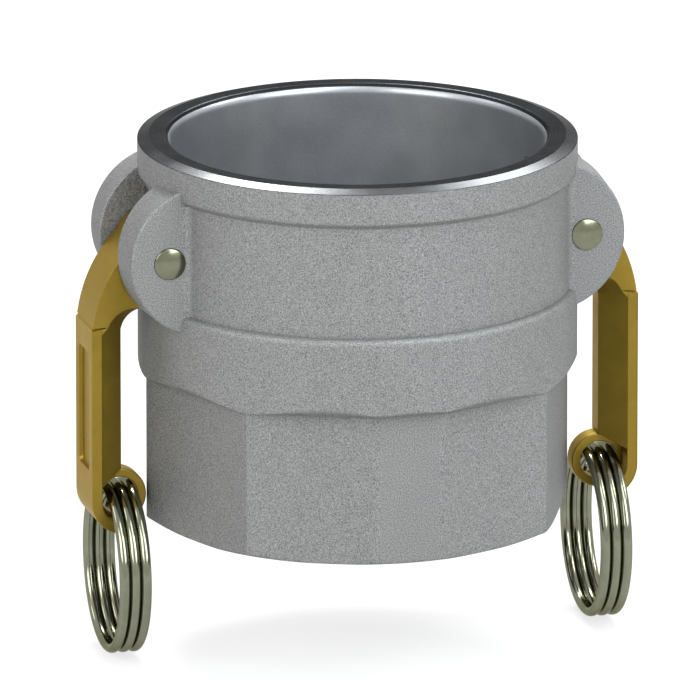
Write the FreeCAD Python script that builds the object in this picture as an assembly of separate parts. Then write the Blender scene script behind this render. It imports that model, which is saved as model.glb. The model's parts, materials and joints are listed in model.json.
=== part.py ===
"""Cam and groove coupling, 3 inch (DN 80): a socket with two cam levers and a female pipe thread.

Frame: millimetres. The origin is the centre of the threaded end face, +Z points to the socket
mouth, the levers lie on +X and -X, and the pins run along Y. The levers are shown closed.
"""
import FreeCAD, Part
import math
import os
from FreeCAD import Vector

# Threaded end, inside
thread_radius = 43.942       # major radius of the 3 inch parallel pipe thread
thread_chamfer = 0.4
relief_depth = 0.7           # thread relief below the seat
relief_height = 4.5
seat_thickness = 8.5         # shelf between the thread and the gasket
seat_ledge = 5.342           # what the shelf stands in from the thread

# Socket, inside
bore_step = 2.258            # the bore beyond the thread: 46.2 takes the standard 91.6 mm adapter
mouth_round = 2.5
bore_land = 8.6              # straight stretch at the mouth
bore_draft = 0.15            # what the cast wall below the land comes in by
bore_bow = 0.04              # its slight belly
socket_depth = 51.3          # from the mouth to the gasket's seat

# Gasket
gasket_thickness = 6.35
gasket_lip = 1.05            # what it reaches into the wall, beyond the bore
gasket_overhang = 0.5        # what it stands in from the shelf
gasket_edge = 0.8
groove_play = 0.15           # radial room round the gasket
groove_headroom = 0.5

# Body, outside
body_height = 96.3
waist_wall = 6.5             # plain wall between rim band and collar
rim_step = 1.7               # the rim band beyond the waist
rim_band_height = 9.1
rim_band_round = 0.8
rim_band_hollow = 0.1        # of the slope under the band
mouth_chamfer_width = 2.8
mouth_chamfer_height = 0.87
collar_step = 1.7            # the collar beyond the waist
collar_gap = 1.5             # from the collar's top to the lever window

# Wrench flats
flat_count = 8
flat_depth = 4.46            # from the collar's surface to the middle of a flat
gate_flat_depth = 3.7        # two narrow flats where the mould was fed, on the Y axis
flats_top = 37.8             # plane where the flats run out under the collar
flat_runout_rise = 4.2
flat_runout_over = 0.89      # the curve of the run-out goes on past the collar's surface
flat_runout_bulge = 0.97
end_chamfer_height = 1.7     # at the corners of the octagon
end_chamfer_crown = 0.1

# Pin
pin_offset = 6.87            # its axis beyond the bore's wall
pin_drop = 24.15             # its axis below the mouth
pin_radius = 3.97
pin_stand_out = 0.75         # its rounded ends, beyond the ears
pin_play = 0.1               # radial, in the lever

# Ears and lever window
ear_thickness = 11.85
ear_inset = 9.47             # centre of the ear's outline, inwards of the pin
ear_radius = 18.8            # at the outer face
ear_draft = 1.4              # what the radius gains towards the slot
ear_root_fillet = 3.0
wall_overlap = 1.5           # how far the blend at the ear's root reaches into the metal
window_below_pin = 12.15
window_above_pin = 12.85
window_corner = 2.0

# Lever head, from the pin
lever_width = 16.3
lever_side_play = 1.0        # between the lever and each ear
hub_radius = 6.6
cam_radius = 8.0
cam_reach = 4.0              # how far the closed cam stands into the bore
cam_drop = 1.15
neck_bury = 0.8              # the neck's back ends this far inside the hub
neck_top_angle = 53.6
neck_back_bulge = 2.55
heel_out = 2.4
heel_drop = 10.75
neck_out = 4.8               # underside of the neck, in full width
neck_drop = 14.05
rib_end_out = 3.8            # underside of the neck, on the narrow rib
rib_end_drop = 16.05
knee_bulge = 0.5

# Lever handle, from the pin
handle_reach = 16.73         # outer face of the handle
handle_depth = 8.7
plate_thickness = 2.6
rib_width = 5.6              # of the inner edge of the handle
rib_knee_drop = 1.8          # the narrow rib bends this far below the shoulder
shoulder_drop = 18.95
shoulder_step = 0.35
panel_width = 9.6
panel_head_gap = 7.0         # below the shoulder
panel_foot_gap = 7.8         # above the eye's centre
panel_depth = 0.9
panel_corner = 1.2

# Pull ring: a coil of flat turns that step over beside the wire ends
ring_radius = 20.4           # of the wire's centre line
ring_lift = 1.7              # the wire passes above the middle of the eye
wire_radius = 1.32
wire_gap = 0.14
ring_turns = 3
ring_step_angle = 42.0       # stretch over which a turn steps to the next
ring_end_angle = 76.0        # where the step ends, from the horizontal, on the +Y side
ring_step_points = 8
ring_yaw = -1.2

# Eye at the end of the lever
eye_drop = 63.65             # below the pin
eye_inset = 8.3              # behind the handle's outer face
eye_play = 0.6               # round the strands of the ring
eye_wall = 2.2
eye_thickness = 4.8
eye_edge = 0.4

# Radii and levels that follow
bore_radius = thread_radius + bore_step
waterway_radius = thread_radius - seat_ledge
gasket_outer_radius = bore_radius + gasket_lip
gasket_inner_radius = waterway_radius - gasket_overhang
waist_radius = bore_radius + waist_wall
rim_radius = waist_radius + rim_step
collar_radius = waist_radius + collar_step
flat_apothem = collar_radius - flat_depth
gate_flat_apothem = collar_radius - gate_flat_depth
rim_band_foot = body_height - rim_band_height
seat_level = body_height - socket_depth
pin_x = bore_radius + pin_offset
pin_z = body_height - pin_drop
window_foot = pin_z - window_below_pin
window_head = pin_z + window_above_pin
collar_top = window_foot - collar_gap
slot_width = lever_width + 2 * lever_side_play
ear_centre_x = pin_x - ear_inset
cam_x = bore_radius - cam_reach + cam_radius
cam_z = pin_z - cam_drop
outer_x = pin_x + handle_reach
strip_x = outer_x - plate_thickness
inner_x = outer_x - handle_depth
shoulder_z = pin_z - shoulder_drop
ring_pitch = 2 * wire_radius + wire_gap
eye_x = outer_x - eye_inset
eye_z = pin_z - eye_drop
eye_hole_radius = (ring_turns - 1) / 2 * ring_pitch + wire_radius + eye_play
eye_radius = eye_hole_radius + eye_wall

X_AXIS = Vector(1, 0, 0)
Y_AXIS = Vector(0, 1, 0)
Z_AXIS = Vector(0, 0, 1)
ORIGIN = Vector(0, 0, 0)
overrun = 0.02 * body_height     # what a cutting tool stands out of the metal
tool_reach = 2 * body_height     # longer than the part is wide


def at(x, z, y=0.0):
    """A point in the plane through the axis and the levers."""
    return Vector(x, y, z)


def path_edges(steps):
    """Edges through a closed list of points. A step (via, end) is an arc, a plain point a line."""
    edges = []
    here = steps[0]
    for step in steps[1:] + [steps[0]]:
        if isinstance(step, tuple):
            via, end = step
            edges.append(Part.Arc(here, via, end).toShape())
        else:
            end = step
            edges.append(Part.LineSegment(here, end).toShape())
        here = end
    return edges


def face_of(steps):
    return Part.Face(Part.Wire(path_edges(steps)))


def turned(steps):
    """Solid of revolution about Z from a profile in the X-Z plane."""
    return face_of(steps).revolve(ORIGIN, Z_AXIS, 360)


def plate_along_y(steps, width):
    """A profile in the X-Z plane, extruded evenly to both sides."""
    face = face_of(steps)
    face.translate(Vector(0, -width / 2, 0))
    return face.extrude(Vector(0, width, 0))


def cylinder_along_y(x, z, radius, width):
    return Part.makeCylinder(radius, width, Vector(x, -width / 2, z), Y_AXIS)


def opposite(shape):
    """The same piece on the other side of the body, turned half round."""
    return shape.rotated(ORIGIN, Z_AXIS, 180)


def polar(centre, radius, degrees):
    """A point round a centre in the X-Z plane, from the +X direction towards +Z."""
    turn = math.radians(degrees)
    return centre + Vector(radius * math.cos(turn), 0, radius * math.sin(turn))


def arc_round(centre, radius, start, end):
    """Middle and end point of an arc round a centre."""
    return polar(centre, radius, (start + end) / 2), polar(centre, radius, end)


def bulged(start, end, bulge):
    """Middle and end point of a shallow arc that bulges to the right of its direction."""
    along = (end - start).normalize()
    right = Vector(along.z, 0, -along.x)
    return (start + end) * 0.5 + right * bulge, end


def outside_blank():
    """Turned outline: end chamfer, collar, waist, rim band and mouth chamfer."""
    corner_radius = flat_apothem / math.cos(math.pi / flat_count)
    chamfer_slope = end_chamfer_height / (corner_radius - flat_apothem)
    chamfer_start = at(flat_apothem, 0)
    chamfer_end = at(collar_radius, chamfer_slope * flat_depth)
    round_top = rim_band_foot + rim_band_round
    slope_foot = at(waist_radius, rim_band_foot - rim_step)
    slope_top = at(rim_radius - rim_band_round, rim_band_foot)
    return turned([
        at(0, 0),
        chamfer_start,
        bulged(chamfer_start, chamfer_end, end_chamfer_crown),
        at(collar_radius, collar_top - collar_step),
        arc_round(at(waist_radius, collar_top - collar_step), collar_step, 0, 90),
        slope_foot,
        bulged(slope_foot, slope_top, -rim_band_hollow),
        arc_round(at(rim_radius - rim_band_round, round_top), rim_band_round, -90, 0),
        at(rim_radius, body_height - mouth_chamfer_height),
        at(rim_radius - mouth_chamfer_width, body_height),
        at(0, body_height),
    ])


def flat_cutter(apothem, angle):
    """What lies outside one wrench flat, with the curved run-out under the collar."""
    lip = at(apothem + flat_depth + flat_runout_over, flats_top + flat_runout_rise)
    outside = lip.x + overrun
    profile = face_of([
        at(apothem, -overrun),
        at(outside, -overrun),
        at(outside, lip.z),
        lip,
        bulged(lip, at(apothem, flats_top), -flat_runout_bulge),
    ])
    profile.translate(Vector(0, -tool_reach / 2, 0))
    return profile.extrude(Vector(0, tool_reach, 0)).rotated(ORIGIN, Z_AXIS, angle)


def ear(side):
    """One drafted ear of the +X pair. side is +1 or -1 along Y."""
    start = Vector(ear_centre_x, side * slot_width / 2, pin_z)
    return Part.makeCone(ear_radius + ear_draft, ear_radius, ear_thickness, start, Y_AXIS * side)


def ear_root():
    """Concave blend between the waist and the outer face of the +X, +Y ear."""
    face_y = slot_width / 2 + ear_thickness
    centre_y = face_y + ear_root_fillet
    centre_x = math.sqrt((waist_radius + ear_root_fillet) ** 2 - centre_y ** 2)
    centre = Vector(centre_x, centre_y, 0)
    on_ear = Vector(centre_x, face_y, 0)
    on_waist = centre * (waist_radius / (waist_radius + ear_root_fillet))
    middle = (on_ear + on_waist) * 0.5 - centre
    via = centre + middle * (ear_root_fillet / middle.Length)
    buried_y = face_y - wall_overlap
    profile = face_of([
        on_ear,
        (via, on_waist),
        Vector(on_waist.x - wall_overlap, buried_y, 0),
        Vector(centre_x, buried_y, 0),
    ])
    foot = collar_top - collar_step
    profile.translate(Vector(0, 0, foot))
    return profile.extrude(Vector(0, 0, rim_band_foot - foot))


def inside_core():
    """Everything turned out of the inside, from the mouth to the threaded end."""
    groove_radius = gasket_outer_radius + groove_play
    groove_top = seat_level + gasket_thickness + groove_headroom
    land_foot = at(bore_radius, body_height - mouth_round - bore_land)
    draft_foot = at(bore_radius - bore_draft, groove_top)
    seat_foot = seat_level - seat_thickness
    relief_foot = seat_foot - relief_height
    relief_radius = thread_radius + relief_depth
    return turned([
        at(0, -overrun),
        at(thread_radius + thread_chamfer + overrun, -overrun),
        at(thread_radius, thread_chamfer),
        at(thread_radius, relief_foot),
        at(relief_radius, relief_foot + relief_depth),
        at(relief_radius, seat_foot),
        at(waterway_radius, seat_foot),
        at(waterway_radius, seat_level),
        at(groove_radius, seat_level),
        at(groove_radius, groove_top),
        draft_foot,
        bulged(draft_foot, land_foot, bore_bow),
        at(bore_radius, body_height - mouth_round),
        arc_round(at(bore_radius + mouth_round, body_height - mouth_round), mouth_round, 180, 90),
        at(bore_radius + mouth_round, body_height + overrun),
        at(0, body_height + overrun),
    ])


def round_along_x(block, radius):
    """A box with its four edges along X rounded."""
    along_x = [edge for edge in block.Edges if abs(edge.tangentAt(edge.FirstParameter).x) > 0.99]
    return block.makeFillet(radius, along_x)


def lever_window():
    """Opening through the wall between the ears of the +X pair, with round corners."""
    start = Vector(0, -slot_width / 2, window_foot)
    block = Part.makeBox(ear_centre_x + ear_radius, slot_width, window_head - window_foot, start)
    return round_along_x(block, window_corner)


def make_body():
    body = outside_blank()
    for index in range(flat_count):
        body = body.cut(flat_cutter(flat_apothem, (index + 0.5) * 360 / flat_count))
    for angle in (90, 270):
        body = body.cut(flat_cutter(gate_flat_apothem, angle))
    pair = ear(1).fuse([ear(-1), ear_root(), ear_root().mirror(ORIGIN, Y_AXIS)])
    body = body.fuse([pair, opposite(pair)]).removeSplitter()
    window = lever_window()
    pin_hole = cylinder_along_y(pin_x, pin_z, pin_radius, tool_reach)
    return body.cut([inside_core(), window, opposite(window), pin_hole, opposite(pin_hole)])


def make_gasket():
    """Flat seal ring with slightly rounded upper corners, resting on the seat."""
    top = seat_level + gasket_thickness
    return turned([
        at(gasket_inner_radius, seat_level),
        at(gasket_outer_radius, seat_level),
        at(gasket_outer_radius, top - gasket_edge),
        arc_round(at(gasket_outer_radius - gasket_edge, top - gasket_edge), gasket_edge, 0, 90),
        at(gasket_inner_radius + gasket_edge, top),
        arc_round(at(gasket_inner_radius + gasket_edge, top - gasket_edge), gasket_edge, 90, 180),
    ])


def make_pin():
    """Straight pin with rounded ends that stand out of the ears."""
    length = slot_width + 2 * ear_thickness + 2 * pin_stand_out
    pin = cylinder_along_y(pin_x, pin_z, pin_radius, length)
    return pin.makeFillet(pin_stand_out, [edge for edge in pin.Edges if edge.isClosed()])


def lever_head():
    """Head of the lever in full width: neck, hub round the pin and cam lobe."""
    shoulder = at(outer_x - shoulder_step, shoulder_z)
    neck_top = polar(at(pin_x, pin_z), hub_radius - neck_bury, neck_top_angle)
    underside = at(pin_x + neck_out, pin_z - neck_drop)
    neck = plate_along_y([
        shoulder,
        bulged(shoulder, neck_top, neck_back_bulge),
        at(cam_x, cam_z),
        at(cam_x, cam_z - cam_radius),
        at(pin_x + heel_out, pin_z - heel_drop),
        underside,
        bulged(underside, at(strip_x, shoulder_z), -knee_bulge),
    ], lever_width)
    hub = cylinder_along_y(pin_x, pin_z, hub_radius, lever_width)
    cam = cylinder_along_y(cam_x, cam_z, cam_radius, lever_width)
    return neck.fuse([hub, cam])


def lever_plate():
    """Outer plate of the handle, which wraps under the eye, in full width."""
    eye = at(eye_x, eye_z)
    wrap = eye_inset - plate_thickness
    return plate_along_y([
        at(outer_x, shoulder_z),
        at(outer_x, eye_z),
        arc_round(eye, eye_inset, 0, -90),
        at(eye_x, eye_z - wrap),
        arc_round(eye, wrap, -90, 0),
        at(strip_x, shoulder_z),
    ], lever_width)


def rib_outline(y, inner, knee_z, neck_end):
    """Closed wire of the handle's rib at one distance from the middle plane."""
    knee = at(inner, knee_z, y)
    buried_x = outer_x - plate_thickness / 2
    heel = at(pin_x + heel_out, pin_z - heel_drop, y)
    return Part.Wire(path_edges([
        at(inner, eye_z, y),
        knee,
        bulged(knee, neck_end + Vector(0, y, 0), knee_bulge),
        heel,
        at(buried_x, heel.z, y),
        at(buried_x, eye_z, y),
    ]))


def lever_rib():
    """Rib behind the plate: narrow on its inner edge, as wide as the plate where it meets it."""
    narrow = (inner_x, shoulder_z - rib_knee_drop, at(pin_x + rib_end_out, pin_z - rib_end_drop))
    wide = (strip_x, shoulder_z, at(pin_x + neck_out, pin_z - neck_drop))
    half_rib = rib_width / 2
    half_lever = lever_width / 2
    middle = Part.Face(rib_outline(-half_rib, *narrow)).extrude(Vector(0, rib_width, 0))
    flank = Part.makeLoft([rib_outline(half_rib, *narrow), rib_outline(half_lever, *wide)], True, True)
    rib = middle.fuse([flank, flank.mirror(ORIGIN, Y_AXIS)])
    for side in (-1, 1):
        start = Vector(eye_x, side * eye_thickness / 2, eye_z)
        rib = rib.cut(Part.makeCylinder(eye_radius, half_lever, start, Y_AXIS * side))
    return rib


def lever_eye():
    """Disc of the eye, with its two outer edges rounded."""
    disc = cylinder_along_y(eye_x, eye_z, eye_radius, eye_thickness)
    rims = [edge for edge in disc.Edges if edge.isClosed()]
    return disc.makeFillet(eye_edge, rims)


def lever_panel():
    """Recess for a plate mark on the handle's outer face, left bare."""
    foot = eye_z + panel_foot_gap
    head = shoulder_z - panel_head_gap
    start = Vector(outer_x - panel_depth, -panel_width / 2, foot)
    block = Part.makeBox(2 * panel_depth, panel_width, head - foot, start)
    return round_along_x(block, panel_corner)


def make_lever():
    lever = lever_head().fuse([lever_plate(), lever_rib(), lever_eye()]).removeSplitter()
    pin_hole = cylinder_along_y(pin_x, pin_z, pin_radius + pin_play, tool_reach)
    eye_hole = cylinder_along_y(eye_x, eye_z, eye_hole_radius, tool_reach)
    return lever.cut([pin_hole, eye_hole, lever_panel()])


def ring_point(degrees, offset):
    """A point on the wire's centre line, with the ring hanging from the eye."""
    turn = math.radians(degrees)
    centre_z = eye_z + ring_lift - ring_radius
    return Vector(eye_x + offset, ring_radius * math.cos(turn), centre_z + ring_radius * math.sin(turn))


def ring_tangent(degrees):
    turn = math.radians(degrees)
    return Vector(0, -math.sin(turn), math.cos(turn))


def wire_section(degrees, offset):
    """Circle of the wire, square to its centre line."""
    return Part.Wire(Part.makeCircle(wire_radius, ring_point(degrees, offset), ring_tangent(degrees)))


def flat_turn(offset):
    """The part of one turn that lies in its own plane: the wire's circle, turned about the ring's axis."""
    centre = Vector(eye_x + offset, 0, eye_z + ring_lift - ring_radius)
    section = Part.Face(wire_section(ring_end_angle, offset))
    return section.revolve(centre, X_AXIS, 360 - ring_step_angle)


def step_over(offset):
    """The smooth step from one turn to the next."""
    start = ring_end_angle - ring_step_angle
    points = []
    for index in range(ring_step_points + 1):
        share = index / ring_step_points
        rise = (1 - math.cos(math.pi * share)) / 2
        points.append(ring_point(start + share * ring_step_angle, offset + rise * ring_pitch))
    curve = Part.BSplineCurve()
    tangents = ring_tangent(start), ring_tangent(ring_end_angle)
    curve.interpolate(Points=points, InitialTangent=tangents[0], FinalTangent=tangents[1])
    return Part.Wire(curve.toShape()).makePipeShell([wire_section(start, offset)], True, False)


def make_ring():
    """Coil of flat turns. Each turn steps over by one pitch beside the wire ends."""
    first = -(ring_turns - 1) / 2 * ring_pitch
    ring = flat_turn(first)
    for index in range(1, ring_turns):
        ring = ring.fuse([step_over(first + (index - 1) * ring_pitch), flat_turn(first + index * ring_pitch)])
    ring.rotate(Vector(eye_x, 0, eye_z), Z_AXIS, ring_yaw)
    return ring


def write(name, shape):
    shape.exportStep(os.path.join("parts", name + ".step"))
    print(name, "volume", round(shape.Volume), "valid", shape.isValid(), "solids", len(shape.Solids))


os.makedirs("parts", exist_ok=True)
lever = make_lever()
pin = make_pin()
ring = make_ring()
write("body", make_body())
write("gasket", make_gasket())
for name, shape in (("lever", lever), ("pin", pin)):
    write(name + "_right", shape)
    write(name + "_left", opposite(shape))
write("ring_right", ring)
ring.translate(Vector(-2 * eye_x, 0, 0))
write("ring_left", ring)
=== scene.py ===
# %% [markdown]
# # Cam and groove coupling
# A casting of blasted aluminium takes a pipe on its thread below and a hose adapter in its socket
# above. Two brass levers turn on steel pins between ears, and each carries a pull ring of wire.
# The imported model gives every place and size. Here each piece gets a fine surface and its finish.

# %% Load the frame
import json
import math
import bmesh
import bpy
import numpy as np
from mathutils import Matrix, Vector


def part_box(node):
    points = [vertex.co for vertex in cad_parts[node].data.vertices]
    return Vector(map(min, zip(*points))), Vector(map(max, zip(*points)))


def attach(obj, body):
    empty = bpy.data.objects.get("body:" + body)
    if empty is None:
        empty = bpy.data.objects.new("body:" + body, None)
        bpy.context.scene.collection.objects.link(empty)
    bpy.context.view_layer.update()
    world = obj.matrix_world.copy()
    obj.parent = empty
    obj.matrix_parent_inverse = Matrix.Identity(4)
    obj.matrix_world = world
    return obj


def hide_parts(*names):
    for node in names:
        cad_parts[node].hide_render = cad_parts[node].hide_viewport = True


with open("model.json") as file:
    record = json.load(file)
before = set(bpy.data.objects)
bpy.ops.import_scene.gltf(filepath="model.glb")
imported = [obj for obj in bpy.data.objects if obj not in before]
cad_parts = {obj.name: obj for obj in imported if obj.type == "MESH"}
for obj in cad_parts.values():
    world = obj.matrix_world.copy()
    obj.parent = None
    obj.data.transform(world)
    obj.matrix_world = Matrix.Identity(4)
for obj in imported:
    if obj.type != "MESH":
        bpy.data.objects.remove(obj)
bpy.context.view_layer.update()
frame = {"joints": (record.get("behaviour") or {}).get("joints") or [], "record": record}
MM = 0.001
mounts = {mount["name"]: mount for mount in frame["record"]["mounts"]}
joints = {joint["name"]: joint for joint in frame["joints"]}
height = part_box("body")[1].z / MM
thread_r = mounts["pipe_thread"]["dims"]["r_mm"]
bore_r = mounts["adapter_socket"]["dims"]["r_mm"]
pin_x, _, pin_z = (value / MM for value in joints["right_lever_hinge"]["pos_m"])
eye_x, _, eye_z = (value / MM for value in joints["right_ring_swing"]["pos_m"])
print("height", round(height, 2), "pin", pin_x, pin_z, "eye", eye_x, eye_z)

# %% [markdown]
# ## Grids
# Almost every surface here is a grid of points, worked out with numpy from two parameters. A piece
# gathers its grids, closes each where its formula closes, and becomes one mesh. Edges are real
# rounds of a few rows, because a broken edge that catches light is what makes metal look solid.


# %% A piece made of grids
SHARP_DEGREES = 38    # a bend of more than this is shaded as an edge
WELD_GAP = 2e-6       # metres


class Piece:
    """Gathers grids of points in millimetres and turns them into one mesh object."""

    def __init__(self, name):
        self.name = name
        self.points, self.faces, self.finish, self.count = [], [], [], 0

    def grid(self, points, finish=0, loop_v=False, flip=False, keep=None):
        """Joins neighbouring points by four-sided faces. points is (rows, columns, 3).

        finish is the number of a material, one for all or one for each row. loop_v joins the last
        column to the first, flip turns the faces round, and keep(u, v) says which faces stay.
        """
        rows, columns = points.shape[:2]
        number = np.arange(rows * columns).reshape(rows, columns) + self.count
        u, v = np.arange(rows - 1), np.arange(columns if loop_v else columns - 1)
        u, v = np.meshgrid(u, v, indexing="ij")
        v_next = (v + 1) % columns
        quads = np.stack([number[u, v], number[u + 1, v], number[u + 1, v_next], number[u, v_next]], -1)
        marks = np.broadcast_to(np.asarray(finish), (rows,))[u]
        if keep is not None:
            quads, marks = quads[keep(u, v)], marks[keep(u, v)]
        quads = quads.reshape(-1, 4)
        self.add(points.reshape(-1, 3), quads[:, ::-1] if flip else quads, marks.reshape(-1))

    def plate(self, ring, flip=False):
        """A flat face with many corners, given by its closed outline."""
        order = np.arange(len(ring)) + self.count
        self.add(ring, (order[::-1] if flip else order)[None], [0])

    def add(self, points, faces, marks):
        """Keeps points, the faces between them and each face's material number."""
        self.points.append(points)
        self.faces += faces.tolist()
        self.finish += list(marks)
        self.count += len(points)

    def turn_to(self, side):
        """Leaves the piece at +X (side 1) or turns it half round the bore to -X (side -1)."""
        self.points = [points * np.array([side, side, 1]) for points in self.points]

    def make(self, body, materials, replaces=()):
        """Makes the mesh object, hangs it under its body's empty and hides the imported nodes that it
        stands for.
        """
        mesh = bpy.data.meshes.new(self.name)
        mesh.from_pydata((np.concatenate(self.points) * MM).tolist(), [], self.faces)
        for material in materials:
            mesh.materials.append(material)
        mesh.polygons.foreach_set("material_index", np.array(self.finish, np.int32))
        weld(mesh)
        mesh.shade_smooth()
        mesh.set_sharp_from_angle(angle=math.radians(SHARP_DEGREES))
        piece = bpy.data.objects.new(self.name, mesh)
        bpy.context.scene.collection.objects.link(piece)
        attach(piece, body)
        if replaces:
            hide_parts(*replaces)
        print(self.name, len(mesh.vertices), "points", len(mesh.polygons), "faces")


# %% Welding and rounding
HOLD = 0.3            # a holding row lies this share of a round's reach further out
ROUND_SHARE = 0.42    # the most of a side that a round takes
HOLD_SHARE = 0.47     # and the furthest that a holding row lies along it


def weld(mesh):
    """Joins points that lie on each other, so that seams and poles are closed."""
    work = bmesh.new()
    work.from_mesh(mesh)
    bmesh.ops.remove_doubles(work, verts=work.verts, dist=WELD_GAP)
    bmesh.ops.dissolve_degenerate(work, dist=WELD_GAP, edges=work.edges)
    work.to_mesh(mesh)
    work.free()


def length_of(vectors):
    """Lengths of vectors, with their last axis kept."""
    return np.sqrt((vectors ** 2).sum(-1, keepdims=True))


def soften(path, radii, steps=4):
    """Rounds the corners of a path of points, given as (corners, columns, dimensions).

    Each round is the arc of its radius that touches both sides of the corner, written as a
    rational curve of degree two, and shrinks where a side is short. A holding row on each side
    keeps the shading of the flat stretch even. Returns the rows and, for each row, the number of
    the corner that it came from.
    """
    rows, source = [], []
    for index, radius in enumerate(radii):
        here = path[index]
        if radius == 0 or index in (0, len(path) - 1):
            rows.append(here)
            source.append(index)
            continue
        before, after = path[index - 1] - here, path[index + 1] - here
        long_before, long_after = length_of(before) + 1e-9, length_of(after) + 1e-9
        before, after = before / long_before, after / long_after
        half = np.arccos(np.clip((before * after).sum(-1, keepdims=True), -1, 1)) / 2
        reach = np.minimum(radius / np.tan(half), ROUND_SHARE * np.minimum(long_before, long_after))
        start, end = here + before * reach, here + after * reach
        rows.append(here + before * np.minimum(reach * (1 + HOLD), HOLD_SHARE * long_before))
        for share in np.linspace(0, 1, steps + 1):
            weights = (1 - share) ** 2, 2 * share * (1 - share) * np.sin(half), share ** 2
            rows.append((weights[0] * start + weights[1] * here + weights[2] * end) / sum(weights))
        rows.append(here + after * np.minimum(reach * (1 + HOLD), HOLD_SHARE * long_after))
        source += [index] * (steps + 3)
    return np.stack(rows), np.array(source)


# %% [markdown]
# ## The casting's wall
# The wall is one closed outline in radius and height, carried round the axis. Below the collar the
# radius changes with the direction, because the spanner flats are planes. A soft maximum of the
# planes' distances gives the octagon and rounds its corners in one formula.

# %% Sizes of the casting
# The machined and faced finishes are very dark copies of turned aluminium: their darkness is painted
# shade, standing in for the dark surroundings that the chamfer, the top face and the mouth's upper
# round reflect.
CAST, MACHINED_SHADE, FACED_SHADE, BORED = range(4)    # finishes; the machined one is the chamfer's and the thread's
waist_r = bore_r + 6.5
rim_r = waist_r + 1.7
collar_round = 1.7
collar_r = waist_r + collar_round
outside_r = waist_r - 0.5       # rows beyond this radius are on the outside
flat_r = collar_r - 4.46        # a spanner flat's distance from the axis
gate_flat_r = collar_r - 3.7    # the same, of the flats at the mould's gate
flats_top, under_collar_round = 37.8, 1.3
collar_top = 58.5
rim_foot, rim_round = height - 9.1, 0.9
chamfer = 2.8, 0.87
mouth_round, round_from, lip_shade_above = 2.6, 66, 46    # a radius, and degrees from the bore's wall; above the last, the mouth's round has painted shade
print("waist", waist_r, "rim", rim_r, "flats", round(2 * flat_r, 2), "across")

# %% The window, and the inside
window_foot, window_head = pin_z - 12.15, pin_z + 12.85
slot_half, slot_foot, slot_corner = 9.15, 54.6, 1.2
groove_top, groove_r = 51.85, bore_r + 1.2
draft_r, window_foot_r = bore_r - 0.15, bore_r - 0.11
seat_z, seat_foot = height - 51.3, height - 59.8
waterway_r = thread_r - 5.342
relief, relief_long, relief_end = 0.7, 3.8, 4.5    # groove where a thread cutter runs out
thread_chamfer = 0.4
end_round, end_slope, end_bend = 0.45, 0.413, 0.25
end_flat_r, end_rows_r = 48.6, 49.1
runout_centre = np.array([-0.62, 6.33])
runout_r = math.hypot(*runout_centre)
print("window from", round(window_foot, 2), "to", round(window_head, 2))

# %% Directions round the axis
window_angle = math.asin(slot_half / waist_r)
flat_angles = np.radians(np.concatenate([22.5 + 45 * np.arange(8), [90, 270]]))
flat_reach = np.array([flat_r] * 8 + [gate_flat_r] * 2)
flat_blend = 0.16
corner_degrees = [0, 45, 135, 180, 225, 315, 80.92, 99.08, 260.92, 279.08]
near_corner = [-0.85, -0.5, -0.28, -0.12, 0, 0.12, 0.28, 0.5, 0.85]


def directions():
    """Angles round the axis: even steps, finer at the octagon's corners, and the window's sides."""
    even = np.radians(np.arange(0, 360, 1.25))
    corners, fine = np.radians(corner_degrees), np.radians(near_corner)
    sides = np.array([-1, 1, -1, 1]) * window_angle + np.array([0, 0, math.pi, math.pi])
    extra = np.concatenate([(corners[:, None] + fine).ravel(), sides]) % (2 * math.pi)
    gap = np.abs(np.angle(np.exp(1j * (even[:, None] - extra)))).min(1)
    return np.unique(np.round(np.concatenate([even[gap > math.radians(0.3)], extra]), 9))


def past_flats(radius):
    """How far points lie outside the nearest spanner flat: a soft maximum over the planes."""
    distance = radius[:, None] * np.cos(theta[:, None] - flat_angles) - flat_reach
    return flat_blend * np.log(np.exp(distance / flat_blend).sum(-1))


theta = directions()
octagon = np.full_like(theta, flat_r)
for _ in range(12):
    octagon = octagon - past_flats(octagon)
print("directions", len(theta), "octagon from", octagon.min().round(2), "to", octagon.max().round(2))

# %% [markdown]
# The flats run out under the collar in a curve, and a shallow turned cone takes off the octagon's
# lower corners, so the lower edge rises a little at each corner.


# %% Outline of the wall
def runout_height(radius):
    """Underside of the collar: an arc over the distance from the flat."""
    beyond = np.clip(past_flats(radius), 0, None) - runout_centre[0]
    return flats_top + runout_centre[1] - np.sqrt(runout_r ** 2 - beyond ** 2)


def end_level(radius):
    """Lower end: flat inside the flats' circle, then a shallow cone, with a soft bend between."""
    return end_slope * end_bend * np.log1p(np.exp((radius - flat_r) / end_bend))


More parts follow.
